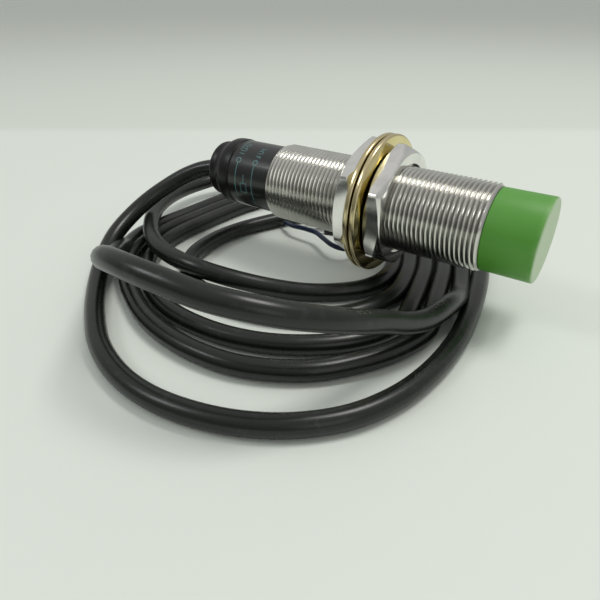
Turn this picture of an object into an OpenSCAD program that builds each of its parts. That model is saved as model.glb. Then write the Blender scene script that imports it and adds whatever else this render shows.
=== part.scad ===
// Cylindrical inductive proximity sensor, M18 x 1, with its lock nuts, washers and lead.
// Axis: the sensor lies along X, its sensing face looks along +X and is the plane x = 0.
// The lead is laid on the surface z = -axis_height, in the loose coil it is stored in.

/* [Threaded barrel] */
// Outer diameter of the barrel's thread
thread_d = 18; // [17.8:0.1:18.2]
// Length of the threaded barrel
barrel_l = 50.9; // [48:0.1:54]
// Diameter of the bore through the barrel
barrel_bore_d = 15.2; // [14:0.1:15.6]

/* [Sensing cap] */
// Outer diameter of the plastic sensing cap
cap_d = 16.8; // [16:0.1:17]
// Length of the cap in front of the barrel
cap_l = 10.2; // [8:0.1:12]
// Thickness of the cap's front wall
cap_wall = 1.2; // [0.8:0.1:2]

/* [Rear end] */
// Outer diameter of the printed rear sleeve
sleeve_d = 16.2; // [15.8:0.1:17]
// Length of the printed sleeve behind the barrel
sleeve_l = 12.3; // [10:0.1:15]
// Largest diameter of the end plug's flange
plug_flange_d = 16.6; // [16:0.1:17.4]
// Diameter of the end plug's neck
plug_neck_d = 13.7; // [12:0.1:14.5]
// Length of the end plug behind the sleeve
plug_l = 7.8; // [6:0.1:10]

/* [Nuts and washers] */
// Width of each lock nut across its flats
nut_af = 24; // [22:0.1:27]
// Thickness of each lock nut
nut_t = 4; // [3:0.1:5]
// Turn of the front nut about the axis, from a corner pointing up
front_nut_turn = 2.5; // [0:0.5:60]
// Turn of the rear nut about the axis, from a corner pointing up
rear_nut_turn = 53; // [0:0.5:60]
// Outer diameter of each washer
washer_d = 30; // [26:0.1:30]
// Thickness of each washer
washer_t = 1.15; // [0.8:0.05:1.5]
// Distance of the front washer's front face behind the sensing face
washer_x = 33.45; // [30:0.05:40]
// Gap between the two washers
washer_gap = 0.35; // [0.3:0.05:1]
// Gap between each nut and its washer
nut_gap = 0.3; // [0.25:0.05:0.5]
// Radial running clearance of the nuts and washers on the thread
run_gap = 0.05; // [0.02:0.01:0.1]

/* [Lead] */
// Diameter of the lead's jacket
cable_d = 4.2; // [4:0.1:5]
// Diameter of each insulated wire in the lead
wire_d = 1.3; // [1:0.1:1.5]
// Height of the sensor's axis above the surface it is stored on
axis_height = 19.5; // [19.3:0.1:22]
// Radius of the coil outside
coil_r = 50; // [45:1:52]
// Radius of the coil's open middle
coil_hole_r = 23; // [15:1:24]

/* [Hidden] */
round_fn = 96;
hex_fn = 6;
tube_sides = 8;

thread_r = thread_d / 2;
bore_r = barrel_bore_d / 2;
barrel_x = -cap_l;
sleeve_x = barrel_x - barrel_l;
plug_x = sleeve_x - sleeve_l;
rear_x = plug_x - plug_l;
groove_w = 0.8;
groove_depth = 0.6;
spigot_gap = 0.05;
spigot_r = bore_r - spigot_gap;
spigot_l = 4.8;
sleeve_bore_r = 6.9;
cap_bore_r = 6.7;
core_r = 6.6;
core_x = -cap_wall - 0.1;
core_l = 5;
post_r = 2.6;
post_hole_r = 1.4;
slot_r = 5.6;
slot_l = 3.5;
flange_t = 0.4;
board_x = -9;
board_l = 46;
board_w = 12;
board_t = 1.2;
part_z = board_t / 2;
grommet_r = 3.1;
crimp_r = 2.9;
cable_r = cable_d / 2;
cable_start_x = -65;
led_r = 1.25;
led_z = 4.9;
bevel = 0.45;
floor_z = -axis_height;
lay_z = floor_z + cable_r;
coil_x = -62.5;
coil_y = -0.5;
hole_x = -54;
hole_y = 2;

// Turns a shape made along +Z into one that runs backwards along -X from x = start.
module along_axis(start) {
    translate([start, 0, 0])
        rotate([0, -90, 0])
            children();
}

// A ring or disc of two radii, laid along the axis.
module ring(start, length, outer_r, inner_r) {
    along_axis(start)
        difference() {
            cylinder(h = length, r = outer_r, $fn = round_fn);
            translate([0, 0, -1])
                cylinder(h = length + 2, r = inner_r, $fn = round_fn);
        }
}

// The nickel-plated brass barrel at its thread's outer diameter, chamfered at both ends.
// One turn of the thread's groove is cut, in front of the front nut, where the free front end stops.
module barrel() {
    edge = 0.6;
    groove_end = washer_x - nut_gap - nut_t - 0.25 - cap_l;
    groove_start = groove_end - groove_w;
    groove_r = thread_r - groove_depth;
    color("silver")
        along_axis(barrel_x)
            rotate_extrude($fn = round_fn)
                polygon([
                    [bore_r, 0], [thread_r - edge, 0], [thread_r, edge], [thread_r, groove_start],
                    [groove_r, groove_start], [groove_r, groove_end], [thread_r, groove_end],
                    [thread_r, barrel_l - edge], [thread_r - edge, barrel_l], [bore_r, barrel_l]
                ]);
}

// The green cap that covers the coil: a cup whose skirt plugs into the barrel.
module sensing_cap() {
    cap_r = cap_d / 2;
    edge = 0.25;
    skirt_end = cap_l + spigot_l;
    color("limegreen")
        along_axis(0)
            rotate_extrude($fn = round_fn)
                polygon([
                    [0, 0], [cap_r - edge, 0], [cap_r, edge], [cap_r, cap_l - 0.02], [spigot_r, cap_l - 0.02],
                    [spigot_r, skirt_end], [cap_bore_r, skirt_end], [cap_bore_r, cap_wall], [0, cap_wall]
                ]);
}

// Half of a ferrite pot core, open towards the sensing face.
module ferrite_core() {
    color("dimgray")
        along_axis(core_x)
            rotate_extrude($fn = round_fn)
                polygon([
                    [post_hole_r, 0], [post_r, 0], [post_r, slot_l], [slot_r, slot_l], [slot_r, 0],
                    [core_r, 0], [core_r, core_l], [post_hole_r, core_l]
                ]);
}

// The spool in the core's slot.
module coil_bobbin() {
    inner_r = post_r + 0.05;
    hub_r = inner_r + 0.4;
    rim_r = slot_r - 0.1;
    spool_l = slot_l - 0.1;
    color("ivory")
        along_axis(core_x)
            rotate_extrude($fn = round_fn)
                polygon([
                    [inner_r, 0], [rim_r, 0], [rim_r, flange_t], [hub_r, flange_t],
                    [hub_r, spool_l - flange_t], [rim_r, spool_l - flange_t], [rim_r, spool_l], [inner_r, spool_l]
                ]);
}

// The copper winding on the spool.
module coil_winding() {
    color("peru")
        ring(core_x - flange_t - 0.05, slot_l - 0.1 - 2 * flange_t - 0.1, slot_r - 0.3, post_r + 0.5);
}

// The two ends of the winding, run back to the circuit board.
module winding_leads() {
    color("peru")
        for (side = [-1, 1])
            translate([0, side * 3, part_z + 0.25])
                along_axis(core_x - core_l - 0.05)
                    cylinder(h = 5, r = 0.2, $fn = round_fn);
}

module circuit_board() {
    color("darkgreen")
        translate([board_x - board_l, -board_w / 2, -board_t / 2])
            cube([board_l, board_w, board_t]);
}

// A component's body on the board's upper face, from its middle and its size.
module on_board(x, y, size) {
    translate([x - size[0] / 2, y - size[1] / 2, part_z])
        cube(size);
}

module oscillator_chip() {
    color("black")
        on_board(-19, 0, [5, 4, 1.6]);
}

module output_transistor() {
    color("black")
        on_board(-44, 2.5, [4.5, 2.6, 1.6]);
}

module clamp_diode() {
    color("black")
        on_board(-44, -2.5, [4.2, 2.4, 2]);
}

module capacitors() {
    color("tan")
        for (at = [[-26, 3], [-26, -3], [-50, 0]])
            on_board(at[0], at[1], [2, 3.2, 1.3]);
}

module resistors() {
    color("black")
        for (at = [[-30, -3.6], [-30, 0], [-30, 3.6], [-33.5, -3.6], [-33.5, 0], [-33.5, 3.6]])
            on_board(at[0], at[1], [1.6, 2.6, 0.6]);
}

module trim_resistor() {
    color("white")
        on_board(-38.5, 0, [3.8, 3.8, 1.8]);
}

// The red light in the end plug that shows the switching state.
module status_led() {
    dome_r = led_r;
    body_l = 8;
    color("red")
        translate([0, 0, led_z])
            along_axis(rear_x + body_l)
                rotate_extrude($fn = round_fn)
                    polygon([
                        [0, 0], [dome_r, 0], [dome_r, body_l - 0.3], [dome_r * 0.7, body_l + 0.05], [0, body_l + 0.2]
                    ]);
}

// The resin that fills the barrel round the board; its pocket clears the board and its parts.
module potting() {
    start_x = barrel_x - spigot_l - 0.3;
    end_x = sleeve_x + spigot_l + 0.3;
    pocket = [60, board_w + 0.4, 4.2];
    color("darkslategray")
        difference() {
            along_axis(start_x)
                cylinder(h = start_x - end_x, r = bore_r - 0.02, $fn = round_fn);
            translate([end_x - 5, -pocket[1] / 2, -board_t / 2 - 0.2])
                cube(pocket);
        }
}

// The black sleeve with the wiring mark, plugged into the back of the barrel.
module printed_sleeve() {
    sleeve_r = sleeve_d / 2;
    color([0.08, 0.08, 0.09])
        along_axis(sleeve_x + spigot_l)
            rotate_extrude($fn = round_fn)
                polygon([
                    [sleeve_bore_r, 0], [spigot_r, 0], [spigot_r, spigot_l + 0.02], [sleeve_r, spigot_l + 0.02],
                    [sleeve_r, spigot_l + sleeve_l], [sleeve_bore_r, spigot_l + sleeve_l]
                ]);
}

// The end plug: a spigot in the sleeve, a rounded flange, and a neck round the lead.
module end_plug() {
    flange_r = plug_flange_d / 2;
    neck_r = plug_neck_d / 2;
    plug_spigot_l = 4;
    rear = plug_spigot_l + plug_l;
    neck = plug_spigot_l + 5.2;
    round_r = 0.8;
    flange_arc = [
        for (a = [0 : 15 : 90])
            [neck_r + (flange_r - neck_r) * cos(a), neck - 2.4 + 2.4 * sin(a)]
    ];
    rear_arc = [
        for (a = [0 : 15 : 90])
            [neck_r - round_r + round_r * cos(a), rear - round_r + round_r * sin(a)]
    ];
    color([0.07, 0.07, 0.07])
        along_axis(plug_x + plug_spigot_l)
            difference() {
                rotate_extrude($fn = round_fn)
                    polygon(concat(
                        [
                            [grommet_r + 0.02, 0], [sleeve_bore_r - 0.02, 0], [sleeve_bore_r - 0.02, plug_spigot_l + 0.02],
                            [flange_r - 0.2, plug_spigot_l + 0.02], [flange_r, plug_spigot_l + 0.25]
                        ],
                        flange_arc,
                        rear_arc,
                        [[grommet_r + 0.02, rear]]
                    ));
                translate([led_z, 0, -1])
                    cylinder(h = rear + 2, r = led_r + 0.02, $fn = round_fn);
            }
}

// The rubber bush that grips the lead in the end plug.
module cable_grommet() {
    color([0.05, 0.05, 0.05])
        ring(plug_x + 3, plug_l + 3.1, grommet_r, cable_r + 0.01);
}

// The metal ring crimped on the jacket inside the sleeve, so that a pull can't reach the wires.
module crimp_ring() {
    color("gray")
        ring(cable_start_x - 1, 3, crimp_r, cable_r + 0.01);
}

// The three wires between the end of the jacket and the board.
module inner_wires() {
    wire_l = 13.4;
    color("brown")
        for (y = [-2.4, 0, 2.4])
            translate([0, y, part_z + wire_d / 2 + 0.02])
                along_axis(cable_start_x + wire_l + 0.05)
                    cylinder(h = wire_l, r = wire_d / 2, $fn = round_fn);
}

// A hexagonal lock nut with both its faces chamfered, its front face at x = start.
module lock_nut(start, turn) {
    corner_r = nut_af / sqrt(3);
    face_r = nut_af / 2 - 0.3;
    cone_r = corner_r + 0.5;
    chamfer = (cone_r - face_r) * tan(30);
    nut_bore_r = thread_r + run_gap;
    lead_in = 0.6;
    along_axis(start)
        difference() {
            intersection() {
                rotate([0, 0, turn])
                    cylinder(h = nut_t, r = corner_r, $fn = hex_fn);
                rotate_extrude($fn = round_fn)
                    polygon([
                        [0, 0], [face_r, 0], [cone_r, chamfer], [cone_r, nut_t - chamfer], [face_r, nut_t], [0, nut_t]
                    ]);
            }
            rotate_extrude($fn = round_fn)
                polygon([
                    [0, -1], [nut_bore_r + lead_in, -1], [nut_bore_r + lead_in, 0], [nut_bore_r, lead_in],
                    [nut_bore_r, nut_t - lead_in], [nut_bore_r + lead_in, nut_t], [nut_bore_r + lead_in, nut_t + 1],
                    [0, nut_t + 1]
                ]);
        }
}

// A flat washer with a bevelled rim, its front face at x = start.
module flat_washer(start) {
    rim_r = washer_d / 2;
    hole_r = thread_r + run_gap;
    along_axis(start)
        rotate_extrude($fn = round_fn)
            polygon([
                [hole_r, 0], [rim_r - bevel, 0], [rim_r, bevel], [rim_r, washer_t - 0.2],
                [rim_r - 0.2, washer_t], [hole_r, washer_t]
            ]);
}

module front_nut() {
    color("gainsboro")
        lock_nut(-washer_x + nut_gap + nut_t, front_nut_turn);
}

module front_washer() {
    color("darkkhaki")
        flat_washer(-washer_x);
}

module rear_washer() {
    color("darkkhaki")
        flat_washer(-washer_x - washer_t - washer_gap);
}

module rear_nut() {
    color("gainsboro")
        lock_nut(-washer_x - 2 * washer_t - washer_gap - nut_gap, rear_nut_turn);
}

// Route of the lead from inside the sensor, down to the surface and round the outer turn.
lead_route = [
    [-65, 0, 0], [-73, 0, 0], [-81, 0, 0], [-83.5, -0.5, -0.2], [-87.5, -2, -1], [-91.6, -4.9, -2.8],
    [-95, -9, -5.4], [-97.4, -14, -8.2], [-98, -20, -11], [-96.8, -26.5, -13.6], [-93.2, -32.9, -15.8],
    [-88, -38.8, -17], [-82, -44.2, lay_z], [-74, -50.3, lay_z], [-64, -56.4, lay_z], [-54, -59.8, lay_z],
    [-45, -60.6, lay_z], [-36, -59.2, lay_z], [-28, -56.2, lay_z], [-21, -51.6, lay_z], [-15, -45, lay_z],
    [-11, -36.5, lay_z], [-9.1, -27, lay_z], [-8.7, -17, lay_z], [-9.5, -7, lay_z], [-10.7, 2, lay_z],
    [-12.1, 8, lay_z]
];

// Route of the turn that springs up off the coil beside the sensor.
bow_route = [
    [-90, -27, -16.5], [-87, -32, -13.8], [-82.5, -37.5, -11.3], [-77, -43, -8.5], [-70, -48, -4.9], [-62, -53, -0.6],
    [-54, -57.2, 2.9], [-45, -58.3, 4.4], [-35, -56.8, 4.4], [-26, -54, 4], [-19.5, -50, 2.2], [-17.6, -42, -1.8],
    [-16, -32, -7], [-14.5, -23, -10.9], [-13.8, -14, -13.6], [-14.1, -6, -16.2], [-15.3, 1, lay_z],
    [-16.8, 8, lay_z]
];

// Routes of the three bared wires, out of the lead's last turn and across the open middle.
blue_route = [
    [-33, 12.5, -16.6], [-36.5, 16.5, -16.4], [-41, 17, -16.3], [-44, 12.5, -16.3], [-44.6, 7.5, -16.3],
    [-46.4, 4.6, -16.2], [-49.5, 4.3, -16], [-54.2, 6.7, -16], [-57.7, 8.6, -16], [-61.5, 9, -16],
    [-66, 9.5, -16.4], [-70, 11.5, -17.2]
];
brown_route = [
    [-33.8, 13.6, -18.4], [-38.5, 17.5, -18.6], [-44, 19.5, -18.8], [-51, 20.5, -18.8], [-58, 20, -18.8],
    [-63, 18, -18.8]
];
black_route = [
    [-33, 11, -18.5], [-37, 13.2, -18.8], [-42, 14.8, -18.8], [-48, 16.8, -18.8], [-54, 17.2, -18.8],
    [-59.5, 16, -18.8]
];

function unit(v) = v / norm(v);

// Direction of travel at point i of a route.
function heading(route, i) =
    unit(route[min(i + 1, len(route) - 1)] - route[max(i - 1, 0)]);

// One ring of points round point i of a route.
function tube_ring(route, i, radius) =
    let (
        ahead = heading(route, i),
        level = abs(ahead[2]) > 0.95 ? [1, 0, 0] : [0, 0, 1],
        side = unit(cross(level, ahead)),
        up = cross(ahead, side)
    )
    [
        for (k = [0 : tube_sides - 1])
            let (a = 360 * (k + 0.5) / tube_sides)
                route[i] + radius * (side * cos(a) + up * sin(a))
    ];

// A plain round tube swept along a route.
module tube(route, radius) {
    rings = len(route);
    points = [for (i = [0 : rings - 1]) each tube_ring(route, i, radius)];
    walls = [
        for (i = [0 : rings - 2], k = [0 : tube_sides - 1])
            let (a = i * tube_sides + k, b = i * tube_sides + (k + 1) % tube_sides)
                [a, a + tube_sides, b + tube_sides, b]
    ];
    first_end = [for (k = [0 : tube_sides - 1]) k];
    last_end = [for (k = [tube_sides - 1 : -1 : 0]) (rings - 1) * tube_sides + k];
    polyhedron(points = points, faces = concat(walls, [first_end], [last_end]));
}

module cable_lead() {
    color([0.1, 0.1, 0.1])
        tube(lead_route, cable_r);
}

module cable_bow() {
    color([0.1, 0.1, 0.1])
        tube(bow_route, cable_r);
}

// The outer shape of the turns that lie on the surface.
module cable_coil() {
    color([0.12, 0.12, 0.12])
        difference() {
            translate([coil_x, coil_y, floor_z])
                cylinder(h = cable_d, r = coil_r, $fn = round_fn);
            translate([hole_x, hole_y, floor_z - 1])
                cylinder(h = cable_d + 2, r = coil_hole_r, $fn = round_fn);
        }
}

module brown_wire() {
    color("saddlebrown")
        tube(brown_route, wire_d / 2);
}

module blue_wire() {
    color("navy")
        tube(blue_route, wire_d / 2);
}

module black_wire() {
    color("black")
        tube(black_route, wire_d / 2);
}

// The tinned ends of the three wires.
module wire_tips() {
    tip_l = 4;
    color("lightgray")
        for (route = [brown_route, blue_route, black_route])
            let (last = len(route) - 1, ahead = heading(route, last), end = route[last])
                tube([end + 0.02 * ahead, end + tip_l * ahead], wire_d / 4);
}

barrel();
sensing_cap();
ferrite_core();
coil_bobbin();
coil_winding();
winding_leads();
circuit_board();
oscillator_chip();
output_transistor();
clamp_diode();
capacitors();
resistors();
trim_resistor();
status_led();
potting();
printed_sleeve();
end_plug();
cable_grommet();
crimp_ring();
inner_wires();
rear_nut();
rear_washer();
front_washer();
front_nut();
cable_lead();
cable_bow();
cable_coil();
brown_wire();
blue_wire();
black_wire();
wire_tips();
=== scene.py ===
"""Cylindrical inductive proximity sensor with its lock nuts, washers and coiled lead."""

import math

import bmesh
import bpy
from mathutils import Matrix, Vector


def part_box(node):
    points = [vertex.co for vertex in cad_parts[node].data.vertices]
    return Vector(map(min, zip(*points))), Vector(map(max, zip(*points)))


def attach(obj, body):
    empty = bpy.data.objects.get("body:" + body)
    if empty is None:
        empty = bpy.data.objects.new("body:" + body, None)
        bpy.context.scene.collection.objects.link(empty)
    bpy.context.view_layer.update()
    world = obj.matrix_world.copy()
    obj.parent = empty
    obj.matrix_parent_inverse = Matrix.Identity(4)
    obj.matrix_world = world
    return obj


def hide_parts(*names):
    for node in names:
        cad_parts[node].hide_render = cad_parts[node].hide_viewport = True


bl_info = {
    "name": "Proximity sensor",
    "version": (1, 0, 0),
    "blender": (4, 5, 0),
    "location": "3D View > Sidebar > Sensor",
    "description": "Builds a threaded proximity sensor with its nuts, washers and lead",
    "category": "Object",
}

MM = 0.001
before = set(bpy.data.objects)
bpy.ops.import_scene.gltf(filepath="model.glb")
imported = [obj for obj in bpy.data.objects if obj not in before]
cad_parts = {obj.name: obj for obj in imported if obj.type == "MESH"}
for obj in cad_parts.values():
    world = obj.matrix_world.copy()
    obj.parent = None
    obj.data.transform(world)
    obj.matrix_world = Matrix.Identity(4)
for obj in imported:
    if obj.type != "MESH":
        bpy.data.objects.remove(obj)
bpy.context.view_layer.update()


def rear_of(node):
    """x of a CAD node's rear face, in millimetres."""
    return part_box(node)[0][0] / MM


def front_of(node):
    """x of a CAD node's front face, in millimetres."""
    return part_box(node)[1][0] / MM


FLOOR_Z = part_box("cable_coil")[0][2] / MM
JACKET_RADIUS = 2.1
LAY_Z = FLOOR_Z + JACKET_RADIUS
BARREL_REAR = rear_of("barrel")
BARREL_FRONT = front_of("barrel")
SLEEVE_REAR = rear_of("printed_sleeve")
PLUG_REAR = rear_of("end_plug")
SHARP_ANGLE = math.radians(32)
SAMPLES_PER_TURN = 8
SLEEVE_RADIUS = 8.1
CAP_RADIUS = 8.4
WASHER_RADIUS = 15
NUT_BORE_RADIUS = 9.05
THREAD_RADIUS = 9.0
BORE_RADIUS = 7.6


def on_floor(*places):
    """Points of the lead's centreline where it lies on the surface."""
    return [(x, y, LAY_Z) for x, y in places]


# The lead's centreline in millimetres, from inside the end plug to the cut end of the jacket.
LEAD_LINE = [
    (-79, 0, 0), (-83, -0.4, -0.2), (-87.5, -2, -1), (-91.6, -4.9, -2.8), (-95, -9, -5.4), (-97.4, -14, -8.2),
    (-98, -20, -11), (-96.8, -26.5, -13.6), (-93.2, -32.9, -15.8), (-88, -38.8, -17),
    *on_floor(
        (-82, -44.2), (-74, -50.3), (-64, -56.4), (-54, -59.8), (-45, -60.6), (-36, -59.2), (-28, -56.2),
        (-21, -51.6), (-15, -45), (-11, -36.5), (-9.1, -27), (-8.7, -17), (-9.6, -7.5), (-11.2, 2),
        (-13.4, 11.5), (-17.5, 24), (-24.5, 37), (-36, 46.6), (-51, 49.4), (-66, 49.4), (-80.5, 46.2),
        (-92, 37.5), (-97.2, 25), (-98.3, 12.5), (-98.6, 1.5), (-98.9, -8.5), (-98.4, -17.5),
    ),
    (-94.6, -25.2, -16.7), (-89.8, -30.8, -14.2), (-84.6, -36, -12), (-79.4, -41.2, -9.6), (-74.5, -44.9, -7.2),
    (-69.5, -48.2, -4.2), (-64.5, -51.3, -1.1), (-59.5, -54.3, 1.8), (-54, -57, 4.2), (-47.5, -58.2, 5.2),
    (-40.5, -57.8, 4.9), (-34, -56.4, 3.9), (-28.3, -53.6, 2.7), (-23.8, -49.4, 0.8), (-20.6, -44.2, -1.5),
    (-18.4, -38.3, -4.3), (-16.8, -32.2, -7), (-15.2, -26.4, -9.9), (-13.9, -20.3, -12), (-13.3, -14.5, -13),
    (-13.2, -9, -13.9), (-13.5, -4, -15.5), (-14.4, 1, -16.9),
    *on_floor(
        (-15.9, 6), (-17.8, 11.5), (-21.4, 20), (-28.5, 32), (-39, 41), (-52, 45), (-65.5, 45), (-78.5, 41),
        (-88.5, 31.5), (-93, 20), (-94.2, 9), (-94.5, -1), (-94.7, -10), (-93.9, -18.5), (-90.7, -26),
        (-85.8, -32.2), (-79.6, -37.2), (-73, -41), (-65, -44.6), (-56, -46.8), (-47, -47.2), (-39, -46),
        (-32, -43), (-26.2, -38.9), (-22, -34), (-18.6, -28.8), (-16, -22.5), (-14.9, -15.8), (-16.4, -9.4),
        (-18, -3.5), (-19.6, 2.5), (-21.4, 9), (-25, 17.5), (-32.2, 28), (-41.5, 36), (-53, 40.6),
        (-65, 40.6), (-76.5, 36.5), (-85, 27.5), (-88.8, 17), (-90, 7), (-90.3, -2.5), (-90.2, -11),
        (-88.6, -18.5), (-85.4, -25), (-80.4, -30.6), (-74, -35.2), (-67.5, -38.4), (-61, -40.3),
        (-53.5, -40.8), (-46, -40), (-38.5, -37.6), (-32, -33.8), (-26.2, -28.6), (-22.3, -22.5),
        (-20.5, -15.5), (-21.6, -8), (-23.4, 0), (-25.6, 8), (-29.5, 16.5), (-36, 25), (-45, 31),
        (-55, 32.5), (-64.5, 27.5), (-71.2, 17.5), (-75.8, 8), (-78.8, -2), (-79, -11), (-77, -18.8),
        (-72.4, -25), (-66, -29), (-58.5, -30.9), (-50, -30.4), (-42.5, -28.2), (-36, -24.5), (-31, -20),
        (-27.9, -14.2), (-26.4, -7), (-27.5, 0.8), (-29.9, 8.5),
    ),
    (-33.4, 15.8, -16.6), (-38.6, 23, -14.4), (-46.5, 30, -13.2), (-58, 36, -13.2), (-71, 39.5, -13.2),
    (-84, 39.5, -13.2), (-96, 35.5, -13.2), (-104.8, 27.5, -13.6), (-108.6, 17.5, -14.4), (-108, 7.5, -14),
    (-104.8, -1.8, -13.4), (-99.6, -10.8, -13.2), (-92, -18.8, -13.2), (-84, -24.4, -13.2),
    (-75.5, -27.4, -13.2), (-66.5, -28, -13.4), (-58.5, -25.4, -14.9), (-51, -21.2, -16.7),
    *on_floor((-43.5, -17.4), (-37, -12.8), (-32.9, -7.4), (-31.6, -0.8), (-33.2, 6.8), (-36.6, 13.4)),
]

# The bared wires, from the cut end of the jacket.
WIRE_LINES = {
    "blue_wire": [
        (-36.2, 12.6, -16.7), (-38.4, 15.8, -16.5), (-41, 16.6, -16.3), (-44, 12.5, -16.3), (-44.6, 7.5, -16.3),
        (-46.4, 4.6, -16.2), (-49.5, 4.3, -16), (-54.2, 6.7, -16), (-57.7, 8.6, -16), (-61.5, 9, -16),
        (-66, 9.5, -16.4), (-70, 11.5, -17.2),
    ],
    "brown_wire": [
        (-36.6, 12.8, -18.1), (-39.5, 17.5, -18.5), (-44, 19.5, -18.8), (-51, 20.5, -18.8), (-58, 20, -18.8),
        (-63, 18, -18.8),
    ],
    "black_wire": [
        (-37.3, 12.4, -17.9), (-39.2, 14, -18.6), (-43, 15.2, -18.8), (-48, 16.8, -18.8), (-54, 17.2, -18.8),
        (-59.5, 16, -18.8),
    ],
}


def smooth_line(points, steps=6):
    """A centripetal Catmull-Rom line through the points."""
    knots = [Vector(p) for p in points]
    knots = [2 * knots[0] - knots[1], *knots, 2 * knots[-1] - knots[-2]]
    line = []
    for a, b, c, d in zip(knots, knots[1:], knots[2:], knots[3:]):
        t1 = (b - a).length ** 0.5
        t2 = t1 + (c - b).length ** 0.5
        t3 = t2 + (d - c).length ** 0.5
        for step in range(steps):
            t = t1 + (t2 - t1) * step / steps
            ab = a.lerp(b, t / t1)
            bc = b.lerp(c, (t - t1) / (t2 - t1))
            cd = c.lerp(d, (t - t2) / (t3 - t2))
            line.append(ab.lerp(bc, t / t2).lerp(bc.lerp(cd, (t - t1) / (t3 - t1)), (t - t1) / (t2 - t1)))
    line.append(knots[-2])
    return line


class Number:
    """A number that comes out of a node, so that maths on it reads as plain maths."""

    def __init__(self, nodes, socket):
        self.nodes = nodes
        self.socket = socket

    def _maths(self, operation, *values):
        return self.nodes.add("ShaderNodeMath", {"operation": operation}, dict(enumerate(values)))

    def __add__(self, other):
        return self._maths("ADD", self, other)

    def __radd__(self, other):
        return self._maths("ADD", other, self)

    def __sub__(self, other):
        return self._maths("SUBTRACT", self, other)

    def __rsub__(self, other):
        return self._maths("SUBTRACT", other, self)

    def __mul__(self, other):
        return self._maths("MULTIPLY", self, other)

    def __rmul__(self, other):
        return self._maths("MULTIPLY", other, self)

    def __truediv__(self, other):
        return self._maths("DIVIDE", self, other)

    def __rtruediv__(self, other):
        return self._maths("DIVIDE", other, self)

    def __mod__(self, other):
        return self._maths("FLOORED_MODULO", self, other)

    def __pow__(self, other):
        return self._maths("POWER", self, other)

    def __lt__(self, other):
        return self._maths("LESS_THAN", self, other)

    def __gt__(self, other):
        return self._maths("GREATER_THAN", self, other)

    def __abs__(self):
        return self._maths("ABSOLUTE", self)

    def floor(self):
        return self._maths("FLOOR", self)

    def least(self, other):
        return self._maths("MINIMUM", self, other)

    def most(self, other):
        return self._maths("MAXIMUM", self, other)

    def sin(self):
        return self._maths("SINE", self)

    def cos(self):
        return self._maths("COSINE", self)

    def ping_pong(self, scale):
        return self._maths("PINGPONG", self, scale)

    def arctan2(self, other):
        return self._maths("ARCTAN2", self, other)


class Nodes:
    """A node tree being put together, for a finish or for geometry."""

    def __init__(self, tree):
        self.tree = tree

    def add(self, kind, settings=None, inputs=None, output=0):
        """Adds one node: its settings first, then a value or a link for each named socket."""
        node = self.tree.nodes.new(kind)
        for key, value in (settings or {}).items():
            if key == "stops":
                ramp = node.color_ramp.elements
                while len(ramp) < len(value):
                    ramp.new(0.5)
                for stop, (place, shade) in zip(ramp, value):
                    stop.position = place
                    stop.color = (*shade, 1)
            else:
                setattr(node, key, value)
        for key, value in (inputs or {}).items():
            self.feed(node.inputs[key], value)
        return Number(self, node.outputs[output]) if node.outputs else node

    def mix(self, amount, first, second):
        """A colour between two others."""
        return self.add("ShaderNodeMix", {"data_type": "RGBA"}, {0: amount, 6: first, 7: second}, output=2)

    def feed(self, socket, value):
        if isinstance(value, Number):
            self.tree.links.new(value.socket, socket)
        elif socket.type == "RGBA" and len(value) == 3:
            socket.default_value = (*value, 1)
        else:
            socket.default_value = value


class Finish(Nodes):
    """A material with one Principled shader; what varies over the surface is fed to it."""

    def __init__(self, name, **constant):
        self.material = bpy.data.materials.new(name)
        self.material.use_nodes = True
        super().__init__(self.material.node_tree)
        self.tree.nodes.clear()
        self.shader = self.tree.nodes.new("ShaderNodeBsdfPrincipled")
        output = self.tree.nodes.new("ShaderNodeOutputMaterial")
        self.tree.links.new(self.shader.outputs[0], output.inputs[0])
        for key, value in constant.items():
            self.feed(self.shader.inputs[key.replace("_", " ")], value)
        self.place = self.add("ShaderNodeTexCoord", output="Object")
        self.material.diffuse_color = (*constant.get("Base_Color", (0.5, 0.5, 0.5)), 1)

    def varies(self, **parts):
        for key, value in parts.items():
            self.feed(self.shader.inputs[key.replace("_", " ")], value)
        return self

    def axes(self):
        """x, y and z on the piece, in millimetres."""
        split = self.add("ShaderNodeSeparateXYZ", inputs={"Vector": self.place})
        outputs = split.socket.node.outputs
        return [Number(self, outputs[i]) * (1 / MM) for i in range(3)]

    def noise(self, scale, detail=3.0, stretch=None):
        """Noise from 0 to 1 whose patches measure about 1000 / scale millimetres."""
        place = self.place
        if stretch:
            place = self.add("ShaderNodeMapping", inputs={"Vector": place, "Scale": stretch})
        return self.add("ShaderNodeTexNoise", inputs={"Vector": place, "Scale": scale, "Detail": detail})

    def bump(self, height, strength, distance):
        """A bump up to distance millimetres deep."""
        sizes = {"Height": height, "Strength": strength, "Distance": distance * MM}
        return self.add("ShaderNodeBump", inputs=sizes, output="Normal")


def near(value, middle, half):
    """1 where value lies within half of middle."""
    return abs(value - middle) < half


def rising(value, over):
    """0 below zero, rising to 1 where value reaches over."""
    return (value / over).most(0).least(1)


def metal(name, shade, rough, painted_shade_radius=0.0, grain=(2600.0, None)):
    """Plated metal, cloudy and finely scratched along its grain, with a painted shade that darkens it below a
    given radius.
    """
    made = Finish(name, Base_Color=shade, Metallic=1.0)
    cloud = made.noise(260.0)
    scratch = made.noise(grain[0], 2.0, grain[1])
    darker = tuple(c * 0.8 for c in shade)
    colour = made.mix((cloud - 0.42) * 2.2, shade, darker)
    # Painted shade: below the given radius, in the thread's grooves and the bore, the colour is darkened towards
    # near black.
    if painted_shade_radius:
        _, y, z = made.axes()
        radius = (y * y + z * z) ** 0.5
        depth = rising(painted_shade_radius - radius, 0.5)
        colour = made.mix(depth * 0.8, colour, (0.06, 0.055, 0.05))
    made.varies(
        Base_Color=colour, Roughness=rough + (cloud - 0.5) * 0.1 + (scratch - 0.5) * 0.06,
        Normal=made.bump(scratch, 0.05, 0.01),
    )
    return made.material


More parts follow.
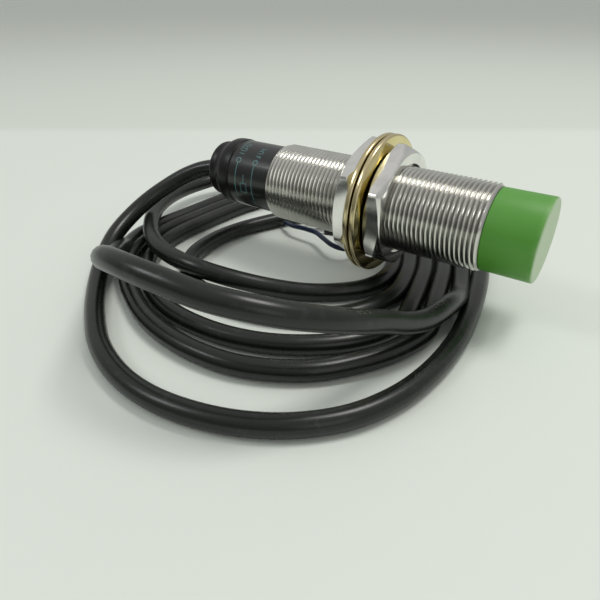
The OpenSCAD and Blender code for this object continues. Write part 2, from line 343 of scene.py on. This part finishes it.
def plastic(name, shade, rough, grain=1400.0, depth=0.02, coat=0.0, patch=0.15, gloss=0.5):
    """Moulded plastic, rubber or resin: fine surface grain and a slightly uneven colour."""
    made = Finish(name, Base_Color=shade, Coat_Weight=coat, Specular_IOR_Level=gloss)
    cloud = made.noise(180.0)
    fine = made.noise(grain, 4.0)
    paler = tuple(min(1.0, c * (1 + patch) + 0.004) for c in shade)
    made.varies(
        Base_Color=made.mix(cloud, shade, paler), Roughness=rough + (fine - 0.5) * 0.12 + (cloud - 0.5) * 0.1,
        Normal=made.bump(fine, 0.35, depth),
    )
    return made.material


def cap_finish(settings):
    """The cap's green plastic, with a painted sheen that makes its front face and, in patches, its front edge
    paler.
    """
    shade = tuple(settings.cap_colour)
    clouded = (shade[0] * 1.15, shade[1] * 1.08, shade[2] * 1.2)
    made = Finish("green_cap_plastic", Base_Color=shade, Coat_Weight=0.0)
    cloud = made.noise(220.0)
    fine = made.noise(1500.0, 4.0)
    x, _, _ = made.axes()
    # Painted sheen: the front face is painted paler, and so are patches within a millimetre of the front edge.
    front = rising(x + 0.35, 0.3)
    edge_sheen = rising(x + 1.1, 0.9) * (cloud - 0.35).most(0) * 1.2
    colour = made.mix(cloud * 0.6, shade, clouded)
    colour = made.mix(edge_sheen.least(0.4), colour, (0.4, 0.6, 0.3))
    colour = made.mix(front * 0.75, colour, (0.58, 0.7, 0.5))
    made.varies(
        Base_Color=colour, Roughness=0.42 + (fine - 0.5) * 0.15 + (cloud - 0.5) * 0.12,
        Normal=made.bump(fine, 0.4, 0.025),
    )
    return made.material


def sleeve_finish(settings):
    """Glossy black film with a generic wiring mark of plain lines, rings and blocks in teal."""
    made = Finish("sleeve_film", Base_Color=(0.02, 0.022, 0.022), Coat_Weight=0.25, Coat_Roughness=0.08)
    x, y, z = made.axes()
    turn = (0 - y).arctan2(z) * (180 / math.pi)
    per_degree = math.radians(SLEEVE_RADIUS)
    ring_radius = 0.62
    half_line = 0.13
    half_stroke = 0.12
    marks = []
    for line_x, ring_turn, first, last in ((-70.8, 49.7, 8, 38), (-65.7, 49.2, 15, 40)):
        reach = ((turn - ring_turn) * per_degree) ** 2.0 + (x - line_x) ** 2.0
        marks.append(near(reach ** 0.5, ring_radius, half_line))
        marks.append(near(x, line_x, half_line) * near(turn, 86, 31.5))
        upright = turn % 6.0 < 1.3
        top_bar = near(x, line_x + 0.62, half_stroke) * (turn % 12.0 < 5)
        middle_bar = near(x, line_x, half_stroke) * (turn % 18.0 < 4)
        within = near(x, line_x, 0.75) * near(turn, (first + last) / 2, (last - first) / 2)
        marks.append((upright + top_bar + middle_bar).least(1) * within)
    box_x = -68.25
    marks.append(near(x, box_x, 1.0) * near(turn, 96, 9) - near(x, box_x, 0.8) * near(turn, 96, 7.4))
    marks.append(near(x, box_x, half_stroke) * near(turn, 80, 7))
    marks.append(near(x, -66.0, 0.5) * (turn % 4.0 < 1.4) * near(turn, 124, 7))
    marks.append(near(x, -71.9, 0.1) * near(turn, -30, 60))
    mark = marks[0]
    for other in marks[1:]:
        mark = mark.most(other)
    worn = made.noise(900.0, 4.0)
    cloud = made.noise(150.0)
    black = made.mix(cloud, (0.006, 0.007, 0.007), (0.011, 0.013, 0.012))
    amount = mark * (0.55 + worn * 0.7).least(1)
    seam = near(x, SLEEVE_REAR + 0.12, 0.1)
    made.varies(
        Base_Color=made.mix(amount, black, tuple(settings.print_colour)),
        Roughness=0.24 + cloud * 0.1 + mark * 0.15 + seam * 0.3,
        Normal=made.bump(worn, 0.05, 0.02),
    )
    return made.material


def jacket_finish(settings):
    """The lead's satin jacket: near black, a little green, with a faint fine grain and dust."""
    shade = tuple(settings.jacket_colour)
    made = Finish("lead_jacket", Base_Color=shade, Specular_IOR_Level=0.5)
    cloud = made.noise(90.0)
    fine = made.noise(1300.0, 4.0)
    dust = (made.noise(420.0, 5.0) - 0.6).most(0) * 1.2
    colour = made.mix(cloud, shade, tuple(c * 1.8 for c in shade))
    colour = made.mix(dust.least(0.12), colour, (0.10, 0.11, 0.10))
    made.varies(
        Base_Color=colour, Roughness=0.29 + (fine - 0.5) * 0.08 + (cloud - 0.5) * 0.12,
        Normal=made.bump(fine, 0.06, 0.008),
    )
    return made.material


def washer_finish(name):
    """Yellow-passivated plate: polished flats and a paler, pinkish rim."""
    made = Finish(name, Base_Color=(0.8, 0.68, 0.44), Metallic=1.0)
    x, y, z = made.axes()
    radius = (y * y + z * z) ** 0.5
    cloud = made.noise(120.0)
    ring_grain = made.add("ShaderNodeCombineXYZ", inputs={0: radius * 2.4, 1: x * 0.3, 2: 0.0})
    turned = made.add("ShaderNodeTexNoise", inputs={"Vector": ring_grain, "Scale": 1.0, "Detail": 4.0})
    rim = rising(radius - (WASHER_RADIUS - 0.65), 0.4)
    colour = made.mix((cloud - 0.3) * 1.6, (0.80, 0.70, 0.36), (0.62, 0.52, 0.22))
    colour = made.mix(rim * 0.7, colour, (0.66, 0.56, 0.36))
    made.varies(
        Base_Color=colour, Roughness=0.12 + (turned - 0.5) * 0.1 + (cloud - 0.5) * 0.08 + rim * 0.1,
        Normal=made.bump(turned, 0.12, 0.02),
    )
    return made.material


def shown_mesh(name, mesh, material, body="sensor", replaced=()):
    """Puts a finished mesh in the scene, sharp only at its real edges, and hands it to the frame."""
    piece = bpy.data.objects.new(name, mesh)
    bpy.context.scene.collection.objects.link(piece)
    mesh.materials.clear()
    mesh.materials.append(material)
    for face in mesh.polygons:
        face.use_smooth = True
    mesh.set_sharp_from_angle(angle=SHARP_ANGLE)
    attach(piece, body)
    if replaced:
        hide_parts(*replaced)
    return piece


def turned_mesh(name, outline, sides=128):
    """A closed solid turned about the sensor's axis.

    outline(angle) lists its section there as pairs of x and radius, in millimetres.
    """
    build = bmesh.new()
    rows = []
    for side in range(sides):
        angle = 2 * math.pi * side / sides
        rows.append(
            [
                build.verts.new((x * MM, r * MM * math.sin(angle), r * MM * math.cos(angle)))
                for x, r in outline(angle)
            ]
        )
    count = len(rows[0])
    for side in range(sides):
        here, there = rows[side], rows[(side + 1) % sides]
        for i in range(count):
            j = (i + 1) % count
            build.faces.new((here[i], here[j], there[j], there[i]))
    bmesh.ops.remove_doubles(build, verts=build.verts, dist=1e-7)
    bmesh.ops.dissolve_degenerate(build, edges=build.edges, dist=1e-7)
    bmesh.ops.recalc_face_normals(build, faces=build.faces)
    mesh = bpy.data.meshes.new(name)
    build.to_mesh(mesh)
    build.free()
    return mesh


def rounded(middle_x, middle_r, size, start, turn=90, steps=6):
    """Points of an arc of that size round a middle point, from an angle in degrees."""
    points = []
    for i in range(steps + 1):
        a = math.radians(start + turn * i / steps)
        points.append((middle_x + size * math.cos(a), middle_r + size * math.sin(a)))
    return points


def laid_tube(name, line, radius, material):
    """A round tube along one open line, which ends in closed discs."""
    data = bpy.data.curves.new(name, "CURVE")
    data.dimensions = "3D"
    spline = data.splines.new("POLY")
    spline.points.add(len(line) - 1)
    for point, at in zip(spline.points, line):
        point.co = (*(at * MM), 1)
    spline.use_smooth = True
    data.bevel_depth = radius * MM
    data.bevel_resolution = 5
    data.use_fill_caps = True
    data.materials.append(material)
    piece = bpy.data.objects.new(name, data)
    bpy.context.scene.collection.objects.link(piece)
    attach(piece, "sensor")
    return piece


def thread_tree():
    """A geometry tree that turns a grid into a bored bar with a right-hand V thread, closed at both ends."""
    tree = bpy.data.node_groups.new("threaded_barrel", "GeometryNodeTree")
    tree.is_modifier = True
    sockets = {}
    for label, kind in (
        ("Rear", "NodeSocketFloat"), ("Length", "NodeSocketFloat"), ("Radius", "NodeSocketFloat"),
        ("Pitch", "NodeSocketFloat"), ("Depth", "NodeSocketFloat"), ("Bore", "NodeSocketFloat"),
        ("Sides", "NodeSocketInt"), ("Rows", "NodeSocketInt"), ("Finish", "NodeSocketMaterial"),
    ):
        sockets[label] = tree.interface.new_socket(label, in_out="INPUT", socket_type=kind).identifier
    tree.interface.new_socket("Geometry", in_out="OUTPUT", socket_type="NodeSocketGeometry")
    nodes = Nodes(tree)
    given = tree.nodes.new("NodeGroupInput")
    value = {label: Number(nodes, given.outputs[label]) for label in sockets}
    sides, rows = value["Sides"], value["Rows"]
    size = {"Size X": 1.0, "Size Y": 1.0, "Vertices X": rows + 3, "Vertices Y": sides + 1}
    grid = nodes.add("GeometryNodeMeshGrid", inputs=size)
    index = nodes.add("GeometryNodeInputIndex")
    row = ((index + 0.5) / (sides + 1)).floor()
    turn = (index - row * (sides + 1)) / sides
    pitches = (row - 1 - SAMPLES_PER_TURN) / SAMPLES_PER_TURN + turn
    along = (pitches * value["Pitch"]).most(0).least(value["Length"])
    wave = ((row - 1) / SAMPLES_PER_TURN).ping_pong(0.5) * 2
    groove = rising(wave - 0.125, 0.75)
    end_gap = along.least(value["Length"] - along)
    outer = (value["Radius"] - groove * value["Depth"]).least(value["Radius"] - value["Depth"] + end_gap)
    on_thread = (row > 0.5) * (row < rows + 0.5)
    front_row = (row > rows + 0.5) * (row < rows + 1.5)
    radius = outer * on_thread + value["Bore"] * (1 - on_thread)
    reach = value["Rear"] + along * on_thread + value["Length"] * front_row
    angle = turn * (2 * math.pi)
    place = nodes.add(
        "ShaderNodeCombineXYZ", inputs={0: reach, 1: radius * angle.cos(), 2: radius * angle.sin()}
    )
    bent = nodes.add("GeometryNodeSetPosition", inputs={"Geometry": grid, "Position": place})
    merged = nodes.add("GeometryNodeMergeByDistance", inputs={"Geometry": bent, "Distance": 2e-6})
    real = nodes.add("GeometryNodeRealizeInstances", inputs={"Geometry": merged})
    done = nodes.add("GeometryNodeSetMaterial", inputs={"Geometry": real, "Material": value["Finish"]})
    output = tree.nodes.new("NodeGroupOutput")
    tree.links.new(done.socket, output.inputs[0])
    return tree, sockets


def grown_mesh(name, tree, sockets, values):
    """Evaluates a geometry tree with the given inputs and keeps the result as a plain mesh."""
    holder = bpy.data.objects.new(name + "_holder", bpy.data.meshes.new(name + "_seed"))
    bpy.context.scene.collection.objects.link(holder)
    modifier = holder.modifiers.new("grow", "NODES")
    modifier.node_group = tree
    for label, value in values.items():
        modifier[sockets[label]] = value
    graph = bpy.context.evaluated_depsgraph_get()
    graph.update()
    mesh = bpy.data.meshes.new_from_object(holder.evaluated_get(graph))
    holder.modifiers.remove(modifier)
    bpy.data.objects.remove(holder)
    tidy = bmesh.new()
    tidy.from_mesh(mesh)
    bmesh.ops.remove_doubles(tidy, verts=tidy.verts, dist=2e-6)
    bmesh.ops.dissolve_degenerate(tidy, edges=tidy.edges, dist=1e-6)
    bmesh.ops.recalc_face_normals(tidy, faces=tidy.faces)
    tidy.to_mesh(mesh)
    tidy.free()
    mesh.name = name
    return mesh


class LeadSettings(bpy.types.PropertyGroup):
    """The diameters of the lead and its wires, and the jacket's colour."""

    jacket: bpy.props.FloatProperty(
        name="Jacket diameter", description="Outer diameter of the lead", default=0.0042, unit="LENGTH"
    )
    wire: bpy.props.FloatProperty(
        name="Wire diameter", description="Diameter of each insulated wire", default=0.0013, unit="LENGTH"
    )
    jacket_colour: bpy.props.FloatVectorProperty(
        name="Jacket colour", description="Colour of the lead's jacket", default=(0.005, 0.0068, 0.005),
        size=3, subtype="COLOR"
    )


class BodySettings(bpy.types.PropertyGroup):
    """The barrel's thread, and the colours of the cap and the sleeve's print."""

    pitch: bpy.props.FloatProperty(
        name="Pitch", description="Distance from one thread crest to the next", default=0.001, unit="LENGTH"
    )
    depth: bpy.props.FloatProperty(
        name="Thread depth", description="Depth of the thread's groove", default=0.0006, unit="LENGTH"
    )
    cap_colour: bpy.props.FloatVectorProperty(
        name="Cap colour", description="Colour of the sensing cap", default=(0.095, 0.33, 0.04),
        size=3, subtype="COLOR"
    )
    print_colour: bpy.props.FloatVectorProperty(
        name="Print colour", description="Colour of the wiring mark", default=(0.08, 0.22, 0.22),
        size=3, subtype="COLOR"
    )


class NutSettings(bpy.types.PropertyGroup):
    """The nuts' width, and how far each one is turned."""

    flats: bpy.props.FloatProperty(
        name="Across flats", description="Width of a nut across its flats", default=0.024, unit="LENGTH"
    )
    front_turn: bpy.props.FloatProperty(
        name="Front nut's turn", description="Angle of a corner from straight up", default=math.radians(2.5),
        unit="ROTATION"
    )
    rear_turn: bpy.props.FloatProperty(
        name="Rear nut's turn", description="Angle of a corner from straight up", default=math.radians(53),
        unit="ROTATION"
    )


class SENSOR_OT_camera(bpy.types.Operator):
    """Sets the camera close to the sensor, off its cap end, looking down at just over 30 degrees"""

    bl_idname = "sensor.camera"
    bl_label = "Camera"

    def execute(self, context):
        data = bpy.data.cameras.new("camera")
        data.sensor_width = 36
        data.lens = 30.51
        data.clip_start = 5 * MM
        camera = bpy.data.objects.new("camera", data)
        right = Vector((0.8178, 0.5755, 0.0)).normalized()
        ahead = Vector((-0.4909, 0.6975, -0.5221)).normalized()
        up = right.cross(ahead).normalized()
        turned = Matrix((right, up, -ahead)).transposed().to_4x4()
        camera.matrix_world = Matrix.Translation(Vector((12.33, -98.43, 40.68)) * MM) @ turned
        context.scene.collection.objects.link(camera)
        context.scene.camera = camera
        return {"FINISHED"}


class SENSOR_OT_lead(bpy.types.Operator):
    """Lays the lead in its coil, with its three bared wires"""

    bl_idname = "sensor.lead"
    bl_label = "Lead"

    def execute(self, context):
        settings = context.scene.sensor_lead
        jacket = laid_tube(
            "lead_jacket", smooth_line(LEAD_LINE), settings.jacket / 2 / MM, jacket_finish(settings)
        )
        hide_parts("cable_lead", "cable_bow", "cable_coil")
        shades = {
            "brown_wire": ("wire_brown", (0.07, 0.025, 0.01)),
            "blue_wire": ("wire_blue", (0.006, 0.018, 0.06)),
            "black_wire": ("wire_black", (0.006, 0.006, 0.006)),
        }
        for node, line in WIRE_LINES.items():
            slot, shade = shades[node]
            finish = plastic(slot + "_insulation", shade, 0.35, 1800.0, 0.01)
            wire = laid_tube(node + "_insulated", smooth_line(line), settings.wire / 2 / MM, finish)
            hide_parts(node)
        return {"FINISHED"}


class SENSOR_OT_barrel(bpy.types.Operator):
    """Cuts the barrel's thread and bore"""

    bl_idname = "sensor.barrel"
    bl_label = "Threaded barrel"

    def execute(self, context):
        settings = context.scene.sensor_body
        length = BARREL_FRONT - BARREL_REAR
        pitch = settings.pitch / MM
        tree, sockets = thread_tree()
        # The thread's grooves and bore get a painted shade.
        finish = metal(
            "nickel_thread", (0.72, 0.71, 0.67), 0.2, painted_shade_radius=THREAD_RADIUS - 0.3, grain=(1200.0, (0.3, 2.0, 2.0))
        )
        values = {
            "Rear": BARREL_REAR * MM, "Length": length * MM, "Radius": THREAD_RADIUS * MM,
            "Pitch": settings.pitch, "Depth": settings.depth, "Bore": BORE_RADIUS * MM, "Sides": 96,
            "Rows": SAMPLES_PER_TURN * (math.ceil(length / pitch) + 1) + 1, "Finish": finish,
        }
        mesh = grown_mesh("threaded_barrel", tree, sockets, values)
        shown_mesh("threaded_barrel", mesh, finish, replaced=["barrel"])
        return {"FINISHED"}


class SENSOR_OT_cap(bpy.types.Operator):
    """Moulds the green sensing cap"""

    bl_idname = "sensor.cap"
    bl_label = "Sensing cap"

    def execute(self, context):
        settings = context.scene.sensor_body
        edge = 0.45
        outline = [
            (0, 0), (0, 7.2), *rounded(-edge, CAP_RADIUS - edge, edge, 0), (-10.0, CAP_RADIUS), (-10.18, 8.25),
            (-10.18, 7.55), (-15, 7.55), (-15, 6.7), (-1.2, 6.7), (-1.2, 0),
        ]
        mesh = turned_mesh("green_cap", lambda angle: outline)
        shown_mesh("green_cap", mesh, cap_finish(settings), replaced=["sensing_cap"])
        return {"FINISHED"}


class SENSOR_OT_rear_end(bpy.types.Operator):
    """Makes the printed sleeve, the end plug and the bush round the lead"""

    bl_idname = "sensor.rear_end"
    bl_label = "Rear end"

    def execute(self, context):
        settings = context.scene.sensor_body
        front = BARREL_REAR
        sleeve = [
            (front + 4.8, 6.9), (front + 4.8, 7.55), (front - 0.02, 7.55), (front - 0.02, 7.95),
            (front - 0.17, SLEEVE_RADIUS), (SLEEVE_REAR + 0.25, SLEEVE_RADIUS), (SLEEVE_REAR + 0.02, 7.9),
            (SLEEVE_REAR + 0.02, 6.9),
        ]
        mesh = turned_mesh("printed_film_sleeve", lambda angle: sleeve)
        shown_mesh(
            "printed_film_sleeve", mesh, sleeve_finish(settings), replaced=["printed_sleeve"]
        )

        start = SLEEVE_REAR
        plug = [
            (start + 4, 3.12), (start + 4, 6.88), (start - 0.02, 6.88), (start - 0.02, 8.0), (start - 0.25, 8.22),
            (start - 0.8, 8.3), (start - 2.2, 8.3), (start - 3.0, 8.2), (start - 3.6, 7.95), (start - 4.1, 7.55),
            (start - 4.5, 7.1), (start - 5.0, 6.82), (start - 5.6, 6.7), (start - 6.1, 6.72), (start - 6.5, 6.82),
            (start - 7.0, 6.84), *rounded(PLUG_REAR + 0.8, 6.04, 0.8, 90), (PLUG_REAR, 3.12),
        ]
        mesh = turned_mesh("rounded_end_plug", lambda angle: plug)
        piece = shown_mesh(
            "rounded_end_plug", mesh, plastic("plug_plastic", (0.004, 0.0042, 0.004), 0.34, gloss=0.32),
            replaced=["end_plug"],
        )
        self.bore_for_light(piece)

        bush = [
            (start + 3, 2.12), (start + 3, 3.1), (PLUG_REAR - 0.02, 3.1), (PLUG_REAR - 0.1, 2.9),
            (PLUG_REAR - 0.1, 2.12),
        ]
        mesh = turned_mesh("rubber_bush", lambda angle: bush, 64)
        shown_mesh(
            "rubber_bush", mesh, plastic("bush_rubber", (0.018, 0.018, 0.018), 0.6, 900.0, 0.03),
            replaced=["cable_grommet"],
        )
        return {"FINISHED"}

    def bore_for_light(self, plug):
        """Bores the hole that the light sits in."""
        low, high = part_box("status_led")
        drill = bmesh.new()
        radius = (high[1] - low[1]) / 2 + 0.02 * MM
        place = Matrix.Translation(((low[0] + high[0]) / 2, 0, (low[2] + high[2]) / 2))
        bmesh.ops.create_cone(
            drill, cap_ends=True, segments=48, radius1=radius, radius2=radius, depth=0.014,
            matrix=place @ Matrix.Rotation(math.pi / 2, 4, "Y"),
        )
        mesh = bpy.data.meshes.new("drill")
        drill.to_mesh(mesh)
        drill.free()
        tool = bpy.data.objects.new("drill", mesh)
        bpy.context.scene.collection.objects.link(tool)
        cut = plug.modifiers.new("light hole", "BOOLEAN")
        cut.operation = "DIFFERENCE"
        cut.object = tool
        cut.solver = "EXACT"
        graph = bpy.context.evaluated_depsgraph_get()
        graph.update()
        bored = bpy.data.meshes.new_from_object(plug.evaluated_get(graph))
        plug.modifiers.remove(cut)
        plug.data = bored
        bpy.data.objects.remove(tool)


class SENSOR_OT_clamps(bpy.types.Operator):
    """Makes the two lock nuts and the two washers between them"""

    bl_idname = "sensor.clamps"
    bl_label = "Nuts and washers"

    def execute(self, context):
        settings = context.scene.sensor_nuts
        chrome = metal("polished_nickel", (0.86, 0.85, 0.82), 0.13, grain=(900.0, (1.0, 8.0, 8.0)))
        for node, turn in (("front_nut", settings.front_turn), ("rear_nut", settings.rear_turn)):
            mesh = self.nut(node + "_hexagon", rear_of(node), front_of(node), turn, settings.flats / 2 / MM)
            shown_mesh(node + "_hexagon", mesh, chrome, node, [node])
        plate = washer_finish("passivated_washer")
        for node in ("front_washer", "rear_washer"):
            rear, front = rear_of(node), front_of(node)
            size = 0.42
            rim_r = WASHER_RADIUS - size - 0.02
            washer = [
                (front, 9.35), (front - 0.3, NUT_BORE_RADIUS), (rear + 0.1, NUT_BORE_RADIUS), (rear, 9.2),
                *reversed(rounded(rear + size, rim_r, size, 90)),
                *reversed(rounded(front - size, rim_r, size, 0)),
            ]
            mesh = turned_mesh(node + "_plate", lambda angle, washer=washer: washer, 160)
            shown_mesh(node + "_plate", mesh, plate, node, [node])
        return {"FINISHED"}

    def nut(self, name, rear, front, turn, half_flats):
        """A hexagonal nut chamfered on both faces, with slightly rounded corners."""
        face_r = half_flats - 0.35
        bore_r = NUT_BORE_RADIUS
        lead_in = 0.55
        slope = math.tan(math.radians(30))
        corner_r = half_flats / math.cos(math.radians(30)) - 0.1
        soft = 0.1

        def outline(angle):
            sector = (angle + turn) % math.radians(60) - math.radians(30)
            flat_r = min(half_flats / math.cos(sector), corner_r)
            drop = (flat_r - face_r) * slope
            return [
                (front, bore_r + lead_in), (front, face_r - soft), (front - soft * 0.3, face_r + soft),
                (front - drop + 0.05, flat_r - 0.1), (front - drop - 0.08, flat_r), (rear + drop + 0.08, flat_r),
                (rear + drop - 0.05, flat_r - 0.1), (rear + soft * 0.3, face_r + soft), (rear, face_r - soft),
                (rear, bore_r + lead_in), (rear + lead_in, bore_r), (front - lead_in, bore_r),
            ]

        return turned_mesh(name, outline, 240)


class SENSOR_OT_inner_parts(bpy.types.Operator):
    """Gives every part inside the sensor its own finish"""

    bl_idname = "sensor.inner_parts"
    bl_label = "Inner parts"

    def execute(self, context):
        finishes = {
            "ferrite_core": plastic("sintered_ferrite", (0.03, 0.03, 0.033), 0.7, 1000.0, 0.05),
            "coil_bobbin": plastic("bobbin_nylon", (0.7, 0.67, 0.54), 0.45),
            "coil_winding": metal("winding_copper", (0.72, 0.3, 0.13), 0.3, grain=(500.0, (9.0, 0.4, 0.4))),
            "circuit_board": plastic("solder_mask", (0.012, 0.1, 0.04), 0.3, 700.0, 0.02, coat=0.3),
            "oscillator_chip": plastic("chip_epoxy", (0.02, 0.02, 0.022), 0.6),
            "capacitors": plastic("fired_ceramic", (0.3, 0.2, 0.1), 0.5),
            "trim_resistor": plastic("white_ceramic", (0.7, 0.7, 0.66), 0.5),
            "status_led": plastic("red_lens", (0.4, 0.012, 0.01), 0.12, 600.0, 0.005, coat=0.8),
            "potting": plastic("cast_resin", (0.035, 0.04, 0.035), 0.5, 300.0, 0.04),
            "crimp_ring": metal("crimped_steel", (0.55, 0.55, 0.54), 0.35),
            "inner_wires": plastic("inner_insulation", (0.16, 0.06, 0.025), 0.4),
            "wire_tips": metal("tinned_strands", (0.72, 0.72, 0.7), 0.3, grain=(3000.0, (0.2, 1.0, 1.0))),
        }
        same = {
            "winding_leads": "coil_winding", "output_transistor": "oscillator_chip",
            "clamp_diode": "oscillator_chip", "resistors": "oscillator_chip",
        }
        for node, like in same.items():
            finishes[node] = finishes[like]
        for node, finish in finishes.items():
            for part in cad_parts[node].material_slots:
                part.material = finish
        return {"FINISHED"}


class SENSOR_OT_stage(bpy.types.Operator):
    """Adds the pale floor, the pale surroundings and the soft lights"""

    bl_idname = "sensor.stage"
    bl_label = "Floor and lights"

    def execute(self, context):
        mesh = bpy.data.meshes.new("floor")
        half = 30.0
        level = FLOOR_Z * MM
        corners = [(-half, -half, level), (half, -half, level), (half, half, level), (-half, half, level)]
        mesh.from_pydata(corners, [], [(0, 1, 2, 3)])
        floor = bpy.data.objects.new("floor", mesh)
        context.scene.collection.objects.link(floor)
        made = Finish("pale_floor", Base_Color=(0.82, 0.85, 0.82), Roughness=0.6, Specular_IOR_Level=0.25)
        x, y, _ = made.axes()
        away = x * -0.5755 + y * 0.8178
        far = rising(away - 168.0, 12.0)
        close = made.mix(made.noise(9.0), (0.78, 0.83, 0.76), (0.82, 0.865, 0.81))
        mesh.materials.append(made.varies(Base_Color=made.mix(far, close, (0.74, 0.78, 0.72))).material)

        target = Vector((-0.05, -0.01, 0.0))
        for name, away, size, power, tint in (
            ("key_light", (0.16, 0.2, 0.7), 0.24, 1.9, (1.0, 0.99, 0.95)),
            ("side_light", (-0.4, -0.42, 0.58), 0.2, 0.8, (0.97, 0.99, 1.0)),
            ("low_light", (0.5, -0.3, 0.25), 0.3, 0.2, (1.0, 0.98, 0.95)),
        ):
            data = bpy.data.lights.new(name, "AREA")
            data.energy = power
            data.size = size
            data.color = tint
            light = bpy.data.objects.new(name, data)
            light.location = target + Vector(away)
            light.rotation_euler = Vector(away).to_track_quat("Z", "Y").to_euler()
            context.scene.collection.objects.link(light)

        context.scene.view_settings.view_transform = "Standard"
        world = bpy.data.worlds.new("surroundings")
        world.use_nodes = True
        context.scene.world = world
        nodes = Nodes(world.node_tree)
        world.node_tree.nodes.clear()
        where = nodes.add("ShaderNodeTexCoord", output="Generated")
        height = nodes.add("ShaderNodeSeparateXYZ", inputs={"Vector": where}, output="Z")
        near_side = nodes.add("ShaderNodeSeparateXYZ", inputs={"Vector": where}, output="Y") * -1.4
        stops = [
            (0.0, (0.3, 0.3, 0.28)), (0.5, (0.78, 0.8, 0.77)),
            (0.62, (0.74, 0.76, 0.74)), (1.0, (1.0, 1.0, 0.99)),
        ]
        ramp = nodes.add("ShaderNodeValToRGB", {"stops": stops}, {"Fac": height * 0.5 + 0.5})
        dim = near_side.most(0).least(1) * (1 - height.most(0)) * 0.75
        room = nodes.mix(dim, ramp, (0.1, 0.1, 0.095))
        background = nodes.add("ShaderNodeBackground", inputs={"Color": room, "Strength": 0.6})
        output = world.node_tree.nodes.new("ShaderNodeOutputWorld")
        world.node_tree.links.new(background.socket, output.inputs[0])
        return {"FINISHED"}


class SENSOR_PT_panel(bpy.types.Panel):
    """Lists the sensor's pieces"""

    bl_idname = "SENSOR_PT_panel"
    bl_label = "Proximity sensor"
    bl_space_type = "VIEW_3D"
    bl_region_type = "UI"
    bl_category = "Sensor"

    def draw(self, context):
        scene = context.scene
        for settings, names in (
            (scene.sensor_lead, ("jacket", "wire", "jacket_colour")),
            (scene.sensor_body, ("pitch", "depth", "cap_colour", "print_colour")),
            (scene.sensor_nuts, ("flats", "front_turn", "rear_turn")),
        ):
            for name in names:
                self.layout.prop(settings, name)
        for operator in STEPS:
            self.layout.operator(operator.bl_idname)


SETTINGS = {"sensor_lead": LeadSettings, "sensor_body": BodySettings, "sensor_nuts": NutSettings}
STEPS = (
    SENSOR_OT_camera, SENSOR_OT_lead, SENSOR_OT_barrel, SENSOR_OT_cap, SENSOR_OT_rear_end, SENSOR_OT_clamps,
    SENSOR_OT_inner_parts, SENSOR_OT_stage,
)


def register():
    for kind in (*SETTINGS.values(), *STEPS, SENSOR_PT_panel):
        bpy.utils.register_class(kind)
    for name, kind in SETTINGS.items():
        setattr(bpy.types.Scene, name, bpy.props.PointerProperty(type=kind))


def unregister():
    for name in SETTINGS:
        delattr(bpy.types.Scene, name)
    for kind in reversed((*SETTINGS.values(), *STEPS, SENSOR_PT_panel)):
        bpy.utils.unregister_class(kind)


def main():
    register()
    for step in STEPS:
        group, name = step.bl_idname.split(".")
        getattr(getattr(bpy.ops, group), name)()


if __name__ == "__main__":
    main()
